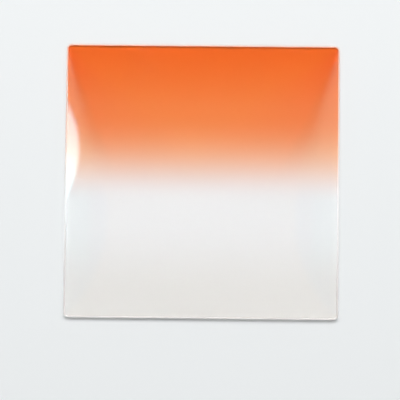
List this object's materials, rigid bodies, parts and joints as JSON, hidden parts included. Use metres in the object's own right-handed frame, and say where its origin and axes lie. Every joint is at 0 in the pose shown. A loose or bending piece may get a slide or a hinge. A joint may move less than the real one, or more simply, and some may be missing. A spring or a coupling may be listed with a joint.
{
  "type": "square graduated color filter",
  "caption": "Flat square plate of clear resin with rounded corners, dyed orange at one end and fading to clear past the middle, that slides into a lens filter holder.",
  "frame": {"origin": "centre of the back face, which the plate lies on", "axes": "+Z out of the front face, +Y towards the dyed end, +X to the right when the dyed end is up"},
  "size_m": [0.083, 0.083, 0.002],
  "materials": {
    "dyed_resin": "polished, see-through, orange at one end and fading to clear at the other"
  },
  "bodies": {
    "root": {"filter_plate": "dyed_resin"}
  },
  "joints": []
}
